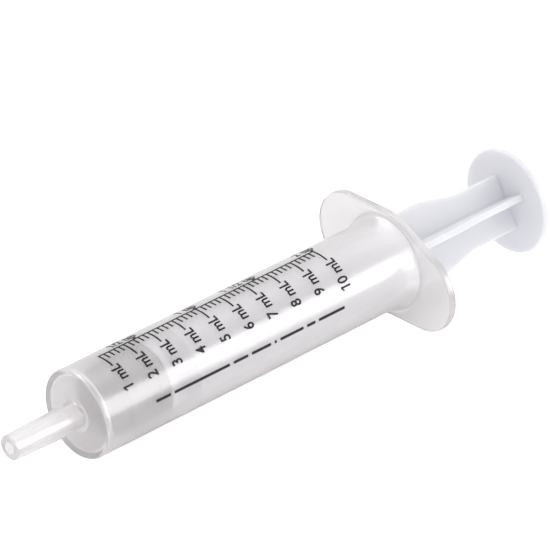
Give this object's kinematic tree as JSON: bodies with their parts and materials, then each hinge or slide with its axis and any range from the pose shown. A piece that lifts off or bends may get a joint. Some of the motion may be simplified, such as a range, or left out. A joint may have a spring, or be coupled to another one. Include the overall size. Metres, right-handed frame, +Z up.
{
  "type": "oral syringe",
  "caption": "Needleless oral dosing syringe: translucent graduated barrel with slim tapered nozzle and winged finger flange, and a white ribbed plunger with a rubber seal and round thumb rest.",
  "frame": {"origin": "on the table under the middle of the syringe's bounding box as it lies at rest", "axes": "+X from the nozzle towards the thumb rest, +Z up; the barrel's axis rises 1.713 degrees towards +X because the flange is wider than the barrel, and the syringe is rolled 15.08 degrees about it so that one slanted flange side lies on the table"},
  "size_m": [0.1226, 0.0346, 0.022],
  "materials": {
    "milky_plastic": "moulded translucent polypropylene, milky, softly glossy",
    "white_plastic": "moulded opaque white polypropylene, satin",
    "seal_rubber": "soft grey rubber with a violet cast, lightly siliconed",
    "scale_ink": "black pad-printed ink"
  },
  "bodies": {
    "barrel": {"barrel": "milky_plastic"},
    "plunger": {"plunger_rod": "white_plastic", "plunger_seal": "seal_rubber"}
  },
  "joints": [
    {"name": "plunger_slide", "type": "slide", "parent": "barrel", "child": "plunger", "axis": [0.9996, 0, 0.0299], "range_m": [-0.0055, 0.054]}
  ]
}
